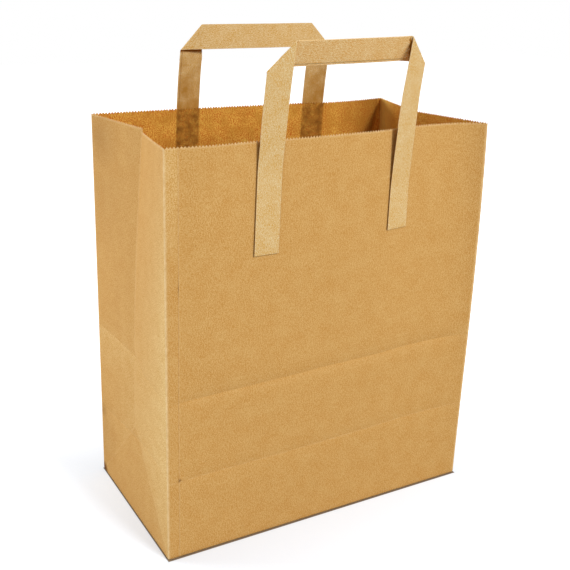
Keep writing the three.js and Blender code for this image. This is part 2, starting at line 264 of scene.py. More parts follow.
# Marks of the outside: painted sheen on the left gusset and under the gussets' upper crease, the paler
# seam strip, painted shade at the foot and dark spots
SHEEN_CURVE = 1.6
SHEEN_NARROWING = 2.6
SHEEN_NARROWS = (0.09, 0.20)
SHEEN_HEIGHT = (0.322, 0.182)
SHEEN_FOOT = (-0.07, 0.07)
SHEEN_IN_TRIANGLE = 0.3
TRIANGLE_BLUR = 1 / 1500
CREASE_SHEEN_REACH = 0.045
CREASE_SHEEN_STRENGTH = 0.385
STRIP_HEIGHT = (0.22, 0.30)
STRIP_STRENGTH = 0.45
FOOT_SHADE_LINE = 0.0012
FOOT_SHADE_STRENGTH = 0.3
Spot = namedtuple("Spot", "across up reach strength")
SPOTS = (
    Spot(BACK_LEFT + 0.002, 0.001, 0.009, 1.5),
    Spot(BACK_LEFT + 0.004, LOW_CREASE - 0.004, 0.009, 0.36),
    Spot(BACK_LEFT, 0.040, 0.036, 0.12),
    Spot(BACK_LEFT + 0.010, 0.283, 0.034, 0.30),
    Spot(BACK_LEFT + 0.004, 0.240, 0.055, 0.12),
    # Painted shadow of a small notch where the low crease meets the seam
    Spot(0.0005, LOW_CREASE + 0.0015, 0.0018, 0.8),
)

# Marks of the inside: blotches, glue and painted shade where the legs are glued behind the sheet, and
# painted light and painted shade beside the back right corner
BLOTCH_SIZE = 0.012
BLOTCH_RANGE = (0.4, 0.4 + 1 / 3)
BLOTCH_STRENGTH = 0.8
LEG_BLUR = 1 / 700
LEG_GLUE_FOOT = HANDLE_FOOT + 0.002
LEG_CLOUD_SIZE = 0.005
LEG_CLOUD_RANGE = (0.08125, 0.70625)
PAINTED_LIGHT_PLACE = (-0.0324, -0.0084)
PAINTED_LIGHT_HEIGHT = (0.32143, 0.27857)
CORNER_SHADE_REACH = 0.060
CORNER_SHADE_CURVE = 1.4
CORNER_SHADE_SLANT = 0.24
CORNER_SHADE_START = (0.0718, 0.0758)
CORNER_SHADE_STRENGTH = 0.85

# Marks of the tape: darker clouds on the back of the legs, and painted shade in and under the folds and on
# the legs' glued sides
GRIP_BLUR = 1 / 300
TAPE_BACK_BLUR = 0.001
TAPE_BACK_CLOUD_SIZE = 0.009
TAPE_BACK_CLOUD_SHARE = 1.8
TAPE_BACK_CLOUD_START = -0.9
TAPE_SIDE_SHADE_FROM = HANDLE_RISE - TAPE_WIDTH / 2
TAPE_SIDE = (0.0003, 0.0002)
FOLD_SHADE_FROM = LEG_INNER + 0.0033
FOLD_SHADE_BLUR = 1 / 1200
UNDER_FOLD_HEIGHT = FOLD_FOOT - 0.0010
UNDER_FOLD_REACH = (0.00182, 0.00042)

# Camera fitted to the photograph
PHOTO_SIDE = 570
FOCAL_PIXELS = 904.6
PRINCIPAL_X = 286.76
PRINCIPAL_Y = 250.61
SENSOR_MM = 36
CAMERA_AZIMUTH = math.radians(-30.244)
CAMERA_ELEVATION = math.radians(17.703)
CAMERA_ROLL = math.radians(1.736)
CAMERA_DISTANCE = 0.7228
CAMERA_SLIDE = 0.00152
CAMERA_LIFT = 0.04346

# Light and the white table
WORLD_LIGHT = 0.39
LAMP_AIM = (0, 0, 0.15)
Lamp = namedtuple("Lamp", "name place size power")
LAMPS = (
    Lamp("key_front", place=(0.71, -2.66, 2.30), size=0.8, power=80),
    Lamp("fill_left", place=(-1.00, 0.62, 0.45), size=0.4, power=7.8),
)
WHITE = (1, 1, 1, 1)
TABLE_WHITE = (0.55, 0.60, 0.68, 1)
TABLE_SHADE_AT_FOOT = (0.26, 0.19, 0.12, 1)
TABLE_ROUGHNESS = 0.9
TABLE_LEVEL = -0.0001
TABLE_SIZE = 6
TABLE_GLOW = 0.53
TABLE_WHITE_AT = 0.22
TABLE_SHADE_FALL_ASIDE = 0.4
TABLE_SHADE_FALL_BACK = 0.8
CONTACT_SHADOW = 0.0016


# Shapes of the sheet

def share(value):
    """A value kept between 0 and 1."""
    return min(1, max(0, value))


def evenly(start, end, step, twos=False):
    """Even places from start up to, but without, end; twos keeps one of them in the middle."""
    count = round((end - start) / step)
    count += count % 2 if twos else 0
    return [start + (end - start) * i / count for i in range(count)]


def between(knots, place):
    """Straight lines through a row of (place, value) knots."""
    for (start, low), (end, high) in zip(knots, knots[1:]):
        if place <= end:
            return low + (high - low) * (place - start) / (end - start)
    return knots[-1][1]


def bow(x, depth, from_edge):
    """Inward bow of a panel at the mouth, deepest at a given distance from its right edge."""
    peak = 1 - from_edge / BAG_WIDTH
    power = peak / (1 - peak)
    along = share((x + HALF_WIDTH) / BAG_WIDTH)
    return depth * along**power * (1 - along) / (peak**power * (1 - peak))


def crease_valley(v, from_corner):
    """Depth of the two creases across a side, fading towards its corner folds."""
    low = LOW_CREASE_DEPTH * math.exp(-abs(v - LOW_CREASE) / CREASE_REACH)
    high = HIGH_CREASE_DEPTH * math.exp(-abs(v - HIGH_CREASE) / CREASE_REACH)
    return (low + high) * min(1, from_corner / CREASE_FADE)


def ripple(s, v, from_corner):
    """Gentle unevenness of a loose sheet; the folds stay straight."""
    spot = Vector((s, v, 0)) / RIPPLE_SPAN
    return RIPPLE * noise.noise(spot) * min(1, from_corner / RIPPLE_FADE) * min(1, v / RIPPLE_FADE)


def seam_lift(s, v):
    """Where the free edge of the front panel has come away from the flange under it."""
    lifted = sum(lift.size * math.exp(-(((v - lift.up) / lift.reach) ** 2)) for lift in SEAM_LIFTS)
    return lifted * max(0, 1 - s / SEAM_LIFT_WIDTH) ** 2


def leg_turn(x, turn):
    """Turn of a panel where the right-hand leg of its handle holds it flat."""
    off = x - LEG_TURN_X
    return turn * off * math.exp(-((off / LEG_TURN_SPAN) ** 2))


def front_mouth(x):
    return bow(x, FRONT_BOW, FRONT_BOW_FROM_EDGE) + leg_turn(x, FRONT_LEG_TURN)


def back_mouth(x):
    return bow(x, BACK_BOW, BACK_BOW_FROM_EDGE) + leg_turn(x, BACK_LEG_TURN)


def front_inset(x, v):
    """How far the front panel stands behind the front plane."""
    from_corner = HALF_WIDTH - abs(x)
    swell = FRONT_SWELL * math.exp(-(((x - FRONT_SWELL_X) / FRONT_SWELL_SPAN) ** 2))
    swell *= min(1, from_corner / CREASE_FADE)
    height = v / BAG_HEIGHT
    loose = crease_valley(v, from_corner) + ripple(x - SEAM_X, v, from_corner)
    return front_mouth(x) * height - swell * height**FRONT_SWELL_CURVE + loose


def back_inset(x, v):
    """How far the back panel stands before the back plane."""
    from_corner = HALF_WIDTH - abs(x)
    loose = crease_valley(v, from_corner) + ripple(BACK_MIDDLE - x, v, from_corner)
    return back_mouth(x) * v / BAG_HEIGHT + loose


def widened(x, v):
    """Place across the bag once its sides have swelled, the right one most above the middle."""
    height = v / BAG_HEIGHT
    right = RIGHT_SWELL * height**RIGHT_SWELL_CURVE * (1 - RIGHT_SWELL_FALL * height)
    swell = RIGHT_SWELL_AT_FOOT + right if x > 0 else LEFT_SWELL
    return x + swell * (x / HALF_WIDTH) ** SIDE_SWELL_CURVE


def foot_inset(v):
    """Round turn of the sheet from a wall to the bottom."""
    above = max(0, FOOT_RADIUS - v)
    return FOOT_RADIUS - math.sqrt(FOOT_RADIUS**2 - above**2)


def gusset_inset(y, v, s, tuck_at_mouth):
    """Inward fold of a gusset: a triangle leans in over the foot and a V deepens above it."""
    from_corner = HALF_DEPTH - abs(y)
    loose = crease_valley(v, from_corner) + ripple(s, v, from_corner)
    if v < HALF_DEPTH:
        return TUCK_AT_FOOT * min(v, from_corner) / HALF_DEPTH + loose
    rise = (v - HALF_DEPTH) / (BAG_HEIGHT - HALF_DEPTH)
    deepest = TUCK_AT_FOOT + (tuck_at_mouth - TUCK_AT_FOOT) * rise**TUCK_CURVE
    roll = GUSSET_ROLL * math.sin(math.pi * from_corner / HALF_DEPTH) if y < 0 else 0
    return deepest * from_corner / HALF_DEPTH - roll * min(1, rise * GUSSET_ROLL_RISE) + loose


def level(s, v):
    """Height of a point of the sheet: creases run aslant and the left gusset's front half is cut lower."""
    ahead = s - BACK_LEFT - HALF_DEPTH
    fall = CUT_STEP * (1 - ahead / HALF_DEPTH) if SAME_PLACE < ahead < HALF_DEPTH else 0
    low = between(LOW_CREASE_SLANT, s)
    high = between(HIGH_CREASE_SLANT, s)
    return v + between(((0, 0), (LOW_CREASE, low), (HIGH_CREASE, high), (BAG_HEIGHT, -fall)), v)


def wall_plan(s, v):
    """Where a point of the flat sheet stands in plan on the opened bag."""
    if s <= FRONT_RIGHT:
        x = SEAM_X + s + SEAM_SLANT * (v / BAG_HEIGHT - 0.5) * (1 - s / FRONT_RIGHT)
        return widened(x, v), front_inset(x, v) - seam_lift(s, v) - HALF_DEPTH
    if s <= BACK_RIGHT:
        y = s - FRONT_RIGHT - HALF_DEPTH
        return widened(HALF_WIDTH, v) - gusset_inset(y, v, s, RIGHT_TUCK_AT_MOUTH), y
    if s <= BACK_LEFT:
        x = BACK_MIDDLE - s
        return widened(x, v), HALF_DEPTH - back_inset(x, v)
    if s <= FRONT_LEFT:
        y = HALF_DEPTH - (s - BACK_LEFT)
        return widened(-HALF_WIDTH, v) + gusset_inset(y, v, s, LEFT_TUCK_AT_MOUTH), y
    x = s - FRONT_LEFT - HALF_WIDTH
    return widened(x, v), front_inset(x, v) + LAYER - HALF_DEPTH


def wall_place(s, v):
    """Where a point of the flat sheet stands on the opened bag, with its round foot."""
    x, y = wall_plan(s, v)
    turned = foot_inset(v)
    return Vector((x * (1 - turned / HALF_WIDTH), y * (1 - turned / HALF_DEPTH), level(s, v)))


def foot_place(s, under):
    """Where a point of the sheet lies, at a distance from the fold, once its side is folded under."""
    wide = HALF_WIDTH - under
    deep = HALF_DEPTH - under
    if s <= FRONT_RIGHT:
        return Vector((widened(wide * (2 * s / FRONT_RIGHT - 1), 0), -deep, 0))
    if s <= BACK_RIGHT:
        return Vector((widened(wide, 0), deep * (2 * (s - FRONT_RIGHT) / BAG_DEPTH - 1), END_FLAP_LEVEL))
    if s <= BACK_LEFT:
        return Vector((widened(wide * (1 - 2 * (s - BACK_RIGHT) / BAG_WIDTH), 0), deep, BACK_FLAP_LEVEL))
    return Vector((widened(-wide, 0), deep * (1 - 2 * (s - BACK_LEFT) / BAG_DEPTH), END_FLAP_LEVEL))


def sheet_columns():
    """Places of the mesh lines up the sheet, one to a tooth of the cut edge."""
    front = evenly(0, FRONT_RIGHT, TOOTH_PITCH)
    right = evenly(FRONT_RIGHT, BACK_RIGHT, TOOTH_PITCH, twos=True)
    back = evenly(BACK_RIGHT, BACK_LEFT, TOOTH_PITCH)
    left = evenly(BACK_LEFT, FRONT_LEFT, TOOTH_PITCH, twos=True)
    return [*front, *right, *back, *left, *evenly(FRONT_LEFT, SHEET_END, TOOTH_PITCH), SHEET_END]


def sheet_rows():
    """Places of the mesh lines along the sheet, close together at the creases."""
    close = [crease + row for crease in (LOW_CREASE, HIGH_CREASE) for row in CREASE_ROWS]
    close += [FOOT_RADIUS * row for row in FOOT_ROWS]
    even = [*evenly(0, BAG_HEIGHT, ROW_STEP), BAG_HEIGHT]
    return sorted(close + [v for v in even if all(abs(v - row) > ROW_STEP / 2 for row in close)])


def verts_of(result):
    return [part for part in result if isinstance(part, bmesh.types.BMVert)]


def edges_of(result):
    return [part for part in result if isinstance(part, bmesh.types.BMEdge)]


def cut_teeth(bm):
    """Cuts the toothed mouth edge: one notch between each two mesh lines of the flat sheet."""
    mouth = [e for e in bm.edges if all(v.co.y > BAG_HEIGHT - SAME_PLACE for v in e.verts)]
    for notch in verts_of(bmesh.ops.subdivide_edges(bm, edges=mouth, cuts=1)["geom_inner"]):
        ragged = 1 + TOOTH_RAGGEDNESS * noise.noise(Vector((notch.co.x / TOOTH_PITCH, 0, 0)))
        notch.co.y -= TOOTH_DEPTH * ragged
    bmesh.ops.triangulate(bm, faces=[f for f in bm.faces if len(f.verts) > 4])


def fold_foot(bm, flat, start, end, reach):
    """Carries one side's lower edge on round the foot and under the bag."""
    def on_side(vert):
        place = vert[flat]
        return start - SAME_PLACE < place.x < end + SAME_PLACE and abs(place.y) < SAME_PLACE

    edges = [e for e in bm.edges if e.is_boundary and all(on_side(v) for v in e.verts)]
    for under in (FOOT_TURN, reach):
        grown = bmesh.ops.extrude_edge_only(bm, edges=edges)["geom"]
        fresh = set(verts_of(grown))
        for vert in fresh:
            vert[flat] = (vert[flat].x, -under, 0)
            vert.co = foot_place(vert[flat].x, under)
        edges = [e for e in edges_of(grown) if all(v in fresh for v in e.verts)]


def lay_floor(bm, flat):
    """The layer between the folded ends and the long flaps."""
    floor = bmesh.ops.create_grid(bm, x_segments=FLOOR_COLUMNS, y_segments=FLOOR_ROWS, size=1)["verts"]
    for vert in floor:
        x = vert.co.x * (HALF_WIDTH - FLOOR_INSET)
        y = vert.co.y * (HALF_DEPTH - FLOOR_INSET)
        vert[flat] = (SHEET_END + HALF_WIDTH + x, y - BAG_HEIGHT, 0)
        vert.co = (x, y, FLOOR_LEVEL)
    bmesh.ops.reverse_faces(bm, faces=list({f for v in floor for f in v.link_faces}))


def round_folds(bm, flat):
    """Small radius along the four corner folds."""
    def folded(edge):
        a, b = (v[flat] for v in edge.verts)
        upright = abs(a.x - b.x) < SAME_PLACE and any(abs(a.x - c) < SAME_PLACE for c in CORNERS)
        return len(edge.link_faces) == 2 and upright and min(a.y, b.y) > -SAME_PLACE

    bmesh.ops.bevel(
        bm, geom=[e for e in bm.edges if folded(e)], offset=FOLD_RADIUS, offset_type="OFFSET",
        segments=2, profile=0.5, affect="EDGES", material=-1,
    )


def finished_mesh(bm, flat, name, girth=0):
    """Writes the flat places into a UV map, joined up round a girth, and hands over a smooth mesh."""
    uv = bm.loops.layers.uv.new("sheet")
    for face in bm.faces:
        face.smooth = True
        rounds = [vert[flat].y for vert in face.verts]
        closing = girth and max(rounds) - min(rounds) > girth / 2
        for loop in face.loops:
            x, y, _ = loop.vert[flat]
            loop[uv].uv = (x, y + girth if closing and y < girth / 2 else y)
    mesh = bpy.data.meshes.new(name)
    bm.to_mesh(mesh)
    bm.free()
    return mesh


def placed(name, mesh, materials):
    piece = bpy.data.objects.new(name, mesh)
    bpy.context.scene.collection.objects.link(piece)
    for material in materials:
        mesh.materials.append(material)
    return piece


def give_thickness(piece):
    """Gives the sheet its thickness; the inside and the cut edges take the next materials."""
    paper = piece.modifiers.new("paper", "SOLIDIFY")
    paper.thickness = SHEET_THICKNESS
    paper.offset = -1
    paper.material_offset = 1
    paper.material_offset_rim = 2
    solid = piece.evaluated_get(bpy.context.evaluated_depsgraph_get())
    piece.data = bpy.data.meshes.new_from_object(solid)
    piece.modifiers.clear()
    piece.data.set_sharp_from_angle(angle=SHARP_FOLD)


def make_bag_sheet(materials):
    columns = sheet_columns()
    rows = sheet_rows()
    bm = bmesh.new()
    bmesh.ops.create_grid(bm, x_segments=len(columns) - 1, y_segments=len(rows) - 1, size=0.5)
    for vert in bm.verts:
        column = round((vert.co.x + 0.5) * (len(columns) - 1))
        row = round((vert.co.y + 0.5) * (len(rows) - 1))
        vert.co = (columns[column], rows[row], 0)
    cut_teeth(bm)
    flat = bm.verts.layers.float_vector.new("flat")
    for vert in bm.verts:
        vert[flat] = vert.co
        vert.co = wall_place(vert.co.x, vert.co.y)
    fold_foot(bm, flat, 0, FRONT_RIGHT, LONG_FLAP)
    fold_foot(bm, flat, FRONT_RIGHT, BACK_RIGHT, END_FLAP)
    fold_foot(bm, flat, BACK_RIGHT, BACK_LEFT, LONG_FLAP)
    fold_foot(bm, flat, BACK_LEFT, FRONT_LEFT, END_FLAP)
    round_folds(bm, flat)
    lay_floor(bm, flat)
    sheet = placed("bag_sheet", finished_mesh(bm, flat, "bag_sheet"), materials)
    give_thickness(sheet)
    return sheet


# Tape handles

def front_panel_y(x, z):
    """The front panel's face, carried on above the mouth."""
    over = front_mouth(x) * max(0, z / BAG_HEIGHT - 1)
    return front_inset(x, min(z, BAG_HEIGHT)) + over - HALF_DEPTH


def back_panel_y(x, z):
    """The back panel's face, carried on above the mouth."""
    over = back_mouth(x) * max(0, z / BAG_HEIGHT - 1)
    return HALF_DEPTH - back_inset(x, min(z, BAG_HEIGHT)) - over


def lean_from(start, size):
    """A lean that starts at a height and is full at the top of the grip."""
    def lean(z):
        return size * max(0, (z - start) / (GRIP_TOP - start)) ** LEAN_CURVE

    return lean


def above_mouth(z):
    """Share of the way from the mouth up to the top of the grip."""
    return max(0, (z - BAG_HEIGHT) / HANDLE_RISE)


def half_handle(hand, foot_below_rim, opening, middle_opening, twist, lean):
    """Lines across one half of a handle, from the foot of its leg to the middle of the grip."""
    fold_run = math.pi * TAPE_FOLD_RADIUS / math.sqrt(2)
    corner_z = FOLD_FOOT - fold_run
    rest = GLUE_GAP + TAPE_THICKNESS / 2

    def spot(from_middle, z, behind):
        aside = LEG_SPACING / 2 - max(from_middle, LEG_INNER)
        twisted = twist * aside * min(1, from_middle / LEG_INNER) * above_mouth(z)
        return (hand * from_middle, rest + lean(z) + twisted - behind, z)

    lines = [
        (spot(LEG_EDGE, z, 0), spot(LEG_INNER, z, 0))
        for z in evenly(BAG_HEIGHT - foot_below_rim, corner_z, LEG_STEP)
    ]
    for step in range(FOLD_STEPS + 1):
        turn = math.pi * step / FOLD_STEPS
        along = TAPE_FOLD_RADIUS * turn / math.sqrt(2)
        over = TAPE_FOLD_RADIUS * math.sin(turn) / math.sqrt(2)
        behind = TAPE_FOLD_RADIUS * (1 - math.cos(turn))
        inward = over - along
        upward = over + along
        lines.append((
            spot(LEG_EDGE + inward, corner_z + upward, behind),
            spot(LEG_INNER + inward, corner_z + TAPE_WIDTH + upward, behind),
        ))
    grip_end = LEG_INNER - fold_run - GRIP_END_GAP
    behind = 2 * TAPE_FOLD_RADIUS
    for from_start in evenly(0, grip_end, LEG_STEP):
        from_middle = grip_end - from_start
        set_back = middle_opening + (opening - middle_opening) * from_middle / grip_end
        low_z = GRIP_TOP - math.sqrt(TAPE_WIDTH**2 - set_back**2)
        lines.append((spot(from_middle, low_z, behind + set_back), spot(from_middle, GRIP_TOP, behind)))
    return lines


def tape_section():
    """Corners of the tape's cut end: place across it, distance out of its middle, and place round it.

    The last ply stops short of one edge, which leaves a step along the back of the tape.
    """
    half = TAPE_THICKNESS / 2
    low = PLY_STEP - half
    soft = TAPE_ROUND / TAPE_WIDTH
    lap = PLY_LAP / TAPE_WIDTH
    face = [(soft, half), (0.25, half), (0.5, half), (0.75, half), (1 - soft, half), (1, 0)]
    back = [(1 - soft, -half), (0.75, -half), (0.5, -half), (0.25, -half), (lap + soft, -half)]
    step = [(lap, low), (soft, low), (0, (half + low) / 2)]
    front_corners = [(across, out, across) for across, out in face]
    return front_corners + [(across, out, 2 - across) for across, out in back + step]


def hung_place(hang, along, z):
    """Place across the bag of a point of a handle, with its legs and folds as they hang."""
    climbed = (z - HANDLE_FOOT) / HANDLE_LENGTH
    up_fold = (z - FOLD_FOOT) / TAPE_WIDTH
    x = along * hang.spread + hang.offset + hang.drift * climbed
    if along > 0:
        in_fold = share(SPLAY_AT_FOLD_FOOT + SPLAY_RISE * up_fold)
        return x + hang.splay * in_fold * share(along / LEG_INNER) ** LEG_CURVE
    below_fold = share((FOLD_FOOT - z) / (FOLD_FOOT - BAG_HEIGHT))
    steeper = hang.steep * max(STEEP_LEAST, up_fold - STEEP_FROM) * share(1 + up_fold)
    return x + (hang.left_shift * below_fold - steeper) * share(-along / LEG_INNER) ** LEG_CURVE


def draw_tape(bm, flat, lines, outward, left_count):
    """Draws the tape's cut end along its lines; flat places count from the middle of the grip."""
    section = tape_section()
    corner = bm.verts.layers.int.new("corner")
    middles = [(a + b) / 2 for a, b in lines]
    lengths = [(b - a).length for a, b in zip(middles, middles[1:])]
    grip_middle = sum(lengths[:left_count - 1]) + lengths[left_count - 1] / 2
    run = -grip_middle
    ring = [bm.verts.new() for _ in section]
    edges = [bm.edges.new((ring[i - 1], ring[i])) for i in range(len(ring))]
    for i, vert in enumerate(ring):
        vert[corner] = i
    for index, (a, b) in enumerate(lines):
        if index > 0:
            run += lengths[index - 1]
            grown = bmesh.ops.extrude_edge_only(bm, edges=edges)["geom"]
            ring = verts_of(grown)
            fresh = set(ring)
            edges = [e for e in edges_of(grown) if all(v in fresh for v in e.verts)]
        ahead = middles[min(index + 1, len(lines) - 1)]
        behind = middles[max(index - 1, 0)]
        out = (b - a).cross(ahead - behind).normalized() * outward
        for vert in ring:
            across, height, turned = section[vert[corner]]
            vert.co = a.lerp(b, across) - out * height
            vert[flat] = (run, turned * TAPE_WIDTH, 0)
    bmesh.ops.holes_fill(bm, edges=[e for e in bm.edges if e.is_boundary], sides=0)
    bmesh.ops.recalc_face_normals(bm, faces=bm.faces)


def make_handle(name, outward, hang, panel_y, left_lean, right_lean, material):
    """A strip of tape drawn along its lines, following the panel and carried on above the mouth."""
    middle_opening = (hang.left_opening + hang.right_opening) / 2
    left = half_handle(
        -1, LEFT_FOOT_BELOW_RIM, hang.left_opening, middle_opening, hang.left_twist, left_lean,
    )
    right = half_handle(
        1, RIGHT_FOOT_BELOW_RIM, hang.right_opening, middle_opening, hang.right_twist, right_lean,
    )

    def in_space(spot):
        along, out, z = spot
        x = hung_place(hang, along, z)
        lifted = (hang.lift + hang.tilt * along) * above_mouth(z)
        return Vector((x, panel_y(x, z) + outward * out, z + lifted))

    bm = bmesh.new()
    flat = bm.verts.layers.float_vector.new("flat")
    lines = [(in_space(a), in_space(b)) for a, b in left + right[::-1]]
    draw_tape(bm, flat, lines, outward, len(left))
    handle = placed(name, finished_mesh(bm, flat, name, 2 * TAPE_WIDTH), [material])
    handle.data.set_sharp_from_angle(angle=SHARP_FOLD)
    return handle


# Paper materials

def add(tree, kind, **settings):
    node = tree.nodes.new(kind)
    for name, value in settings.items():
        setattr(node, name, value)
    return node


def feed(tree, socket, value):
    """Sets a socket, or links it where the value comes from another node."""
    if isinstance(value, bpy.types.NodeSocket):
        tree.links.new(value, socket)
    else:
        socket.default_value = value


def maths(tree, operation, *values, clamp=False):
    node = add(tree, "ShaderNodeMath", operation=operation, use_clamp=clamp)
    for socket, value in zip(node.inputs, values):
        feed(tree, socket, value)
    return node.outputs[0]


def ramp(tree, value, none_at, full_at):
    """Mask that climbs evenly from 0 at one value to 1 at another."""
    span = full_at - none_at
    return maths(tree, "MULTIPLY_ADD", value, 1 / span, -none_at / span, clamp=True)


def speckle(tree, place, size, detail, stretch=(1, 1, 1)):
    """Noise with spots of about the given size in metres."""
    mapping = add(tree, "ShaderNodeMapping")
    feed(tree, mapping.inputs["Vector"], place)
    feed(tree, mapping.inputs["Scale"], stretch)
    cloud = add(tree, "ShaderNodeTexNoise")
    feed(tree, cloud.inputs["Vector"], mapping.outputs[0])
    feed(tree, cloud.inputs["Scale"], 1 / size)
    feed(tree, cloud.inputs["Detail"], detail)
    return cloud.outputs["Fac"]


def blend(tree, share_of_second, first, second):
    mix = add(tree, "ShaderNodeMix", data_type="RGBA")
    feed(tree, mix.inputs["Factor"], share_of_second)
    feed(tree, mix.inputs[6], first)
    feed(tree, mix.inputs[7], second)
    return mix.outputs[2]


def new_group(name, inputs, outputs):
    tree = bpy.data.node_groups.new(name, "ShaderNodeTree")
    for socket, kind in inputs:
        tree.interface.new_socket(socket, in_out="INPUT", socket_type=kind)
    for socket, kind in outputs:
        tree.interface.new_socket(socket, in_out="OUTPUT", socket_type=kind)
    return tree, add(tree, "NodeGroupInput").outputs, add(tree, "NodeGroupOutput").inputs


def make_kraft_fibre():
    """Cloudy formation, fine grain and lying fibres of uncoated kraft paper."""
    tree, given, out = new_group(
        "kraft_fibre",
        [("Place", "NodeSocketVector")],
        [("Tone", "NodeSocketFloat"), ("Fleck", "NodeSocketFloat"), ("Fuzz", "NodeSocketFloat")],
    )
    place = given["Place"]
    clouds = speckle(tree, place, CLOUD_SIZE, detail=3)
    grain = speckle(tree, place, GRAIN_SIZE, detail=1)
    fibres = speckle(tree, place, FIBRE_SIZE, detail=1, stretch=FIBRE_STRETCH)
    tone = maths(tree, "MULTIPLY_ADD", clouds, CLOUD_SHARE, TONE_START)
    tone = maths(tree, "MULTIPLY_ADD", grain, GRAIN_SHARE, tone)
    feed(tree, out["Tone"], maths(tree, "MULTIPLY_ADD", fibres, FIBRE_SHARE, tone, clamp=True))
    dust = speckle(tree, place, FLECK_SIZE, detail=0)
    feed(tree, out["Fleck"], ramp(tree, dust, *FLECK_RANGE))
    feed(tree, out["Fuzz"], maths(tree, "MULTIPLY_ADD", grain, FUZZ_GRAIN_SHARE, fibres))
    return tree


def make_broken_line():
    """Line along a fold or an edge, broken up by the grain; Distance and Width in metres."""
    tree, given, out = new_group(
        "broken_line",
        [("Place", "NodeSocketVector"), ("Distance", "NodeSocketFloat"), ("Width", "NodeSocketFloat")],
        [("Mask", "NodeSocketFloat")],
    )
    near = maths(tree, "DIVIDE", maths(tree, "ABSOLUTE", given["Distance"]), given["Width"])
    near = maths(tree, "SUBTRACT", 1, near, clamp=True)
    breaks = speckle(tree, given["Place"], BREAK_SIZE, detail=2)
    broken = maths(tree, "MULTIPLY_ADD", breaks, BREAK_SHARE, BREAK_START)
    feed(tree, out["Mask"], maths(tree, "MULTIPLY", near, broken, clamp=True))
    return tree


class Paper:
    """One paper material in the making: its node tree, the place on the sheet and the fibre in it."""

    def __init__(self, name, roughness, gloss=0.16, fineness=1, fibre_turn=UP_THE_SHEET):
        self.material = bpy.data.materials.new(name)
        self.material.use_nodes = True
        self.tree = self.material.node_tree
        self.shader = self.tree.nodes["Principled BSDF"]
        self.shader.inputs["Specular IOR Level"].default_value = gloss
        self.roughness = roughness
        self.place = add(self.tree, "ShaderNodeUVMap", uv_map="sheet").outputs[0]
        parts = add(self.tree, "ShaderNodeSeparateXYZ")
        feed(self.tree, parts.inputs[0], self.place)
        self.across, self.up = parts.outputs[0], parts.outputs[1]
        laid = add(self.tree, "ShaderNodeMapping")
        feed(self.tree, laid.inputs["Vector"], self.place)
        feed(self.tree, laid.inputs["Rotation"], (0, 0, fibre_turn))
        feed(self.tree, laid.inputs["Scale"], (fineness, fineness, fineness))
        self.fibre = add(self.tree, "ShaderNodeGroup", node_tree=kraft_fibre)
        feed(self.tree, self.fibre.inputs["Place"], laid.outputs[0])

    def maths(self, operation, *values, clamp=False):
        return maths(self.tree, operation, *values, clamp=clamp)

    def away(self, value, place):
        """Distance of a value from a place, on either side."""
        return self.maths("ABSOLUTE", self.maths("SUBTRACT", value, place))

    def ramp(self, value, none_at, full_at):
        return ramp(self.tree, value, none_at, full_at)

    def clouds(self, size, detail):
        return speckle(self.tree, self.place, size, detail)

    def times(self, *masks):
        found = masks[0]
        for mask in masks[1:]:
            found = self.maths("MULTIPLY", found, mask)
        return found

    def most(self, *masks):
        found = masks[0]
        for mask in masks[1:]:
            found = self.maths("MAXIMUM", found, mask)
        return found

    def line_mask(self, distance, mark):
        """Mask of a line along a fold or an edge, where the distance is 0."""
        line = add(self.tree, "ShaderNodeGroup", node_tree=broken_line)
        feed(self.tree, line.inputs["Place"], self.place)
        feed(self.tree, line.inputs["Distance"], self.maths("ADD", distance, mark.below))
        feed(self.tree, line.inputs["Width"], mark.width)
        return self.maths("MULTIPLY", line.outputs["Mask"], mark.strength)

    def spot(self, across, up, reach, strength):
        """Round spot that fades out from its middle."""
        aside = self.maths("SUBTRACT", self.across, across)
        above = self.maths("SUBTRACT", self.up, up)
        squares = self.maths("MULTIPLY_ADD", aside, aside, self.maths("MULTIPLY", above, above))
        off = self.maths("SQRT", squares)
        return self.maths("MULTIPLY_ADD", off, -strength / reach, strength, clamp=True)

    def colour(self, grain):
        fibres = self.blend(self.fibre.outputs["Tone"], grain.dark, grain.pale)
        return self.blend(self.fibre.outputs["Fleck"], fibres, grain.fleck)

    def blend(self, share_of_second, first, second):
        return blend(self.tree, share_of_second, first, second)

    def finish(self, colour, fuzz):
        """Feeds the shader its colour, a roughness that follows the grain and the fuzz of the fibres."""
        rough = self.maths("MULTIPLY_ADD", self.fibre.outputs["Tone"], ROUGHNESS_GRAIN, self.roughness)
        feed(self.tree, self.shader.inputs["Roughness"], rough)
        feed(self.tree, self.shader.inputs["Base Color"], colour)
        bump = add(self.tree, "ShaderNodeBump")
        feed(self.tree, bump.inputs["Height"], self.fibre.outputs["Fuzz"])
        feed(self.tree, bump.inputs["Strength"], fuzz)
        feed(self.tree, bump.inputs["Distance"], FUZZ_HEIGHT)
        feed(self.tree, self.shader.inputs["Normal"], bump.outputs[0])
        return self.material


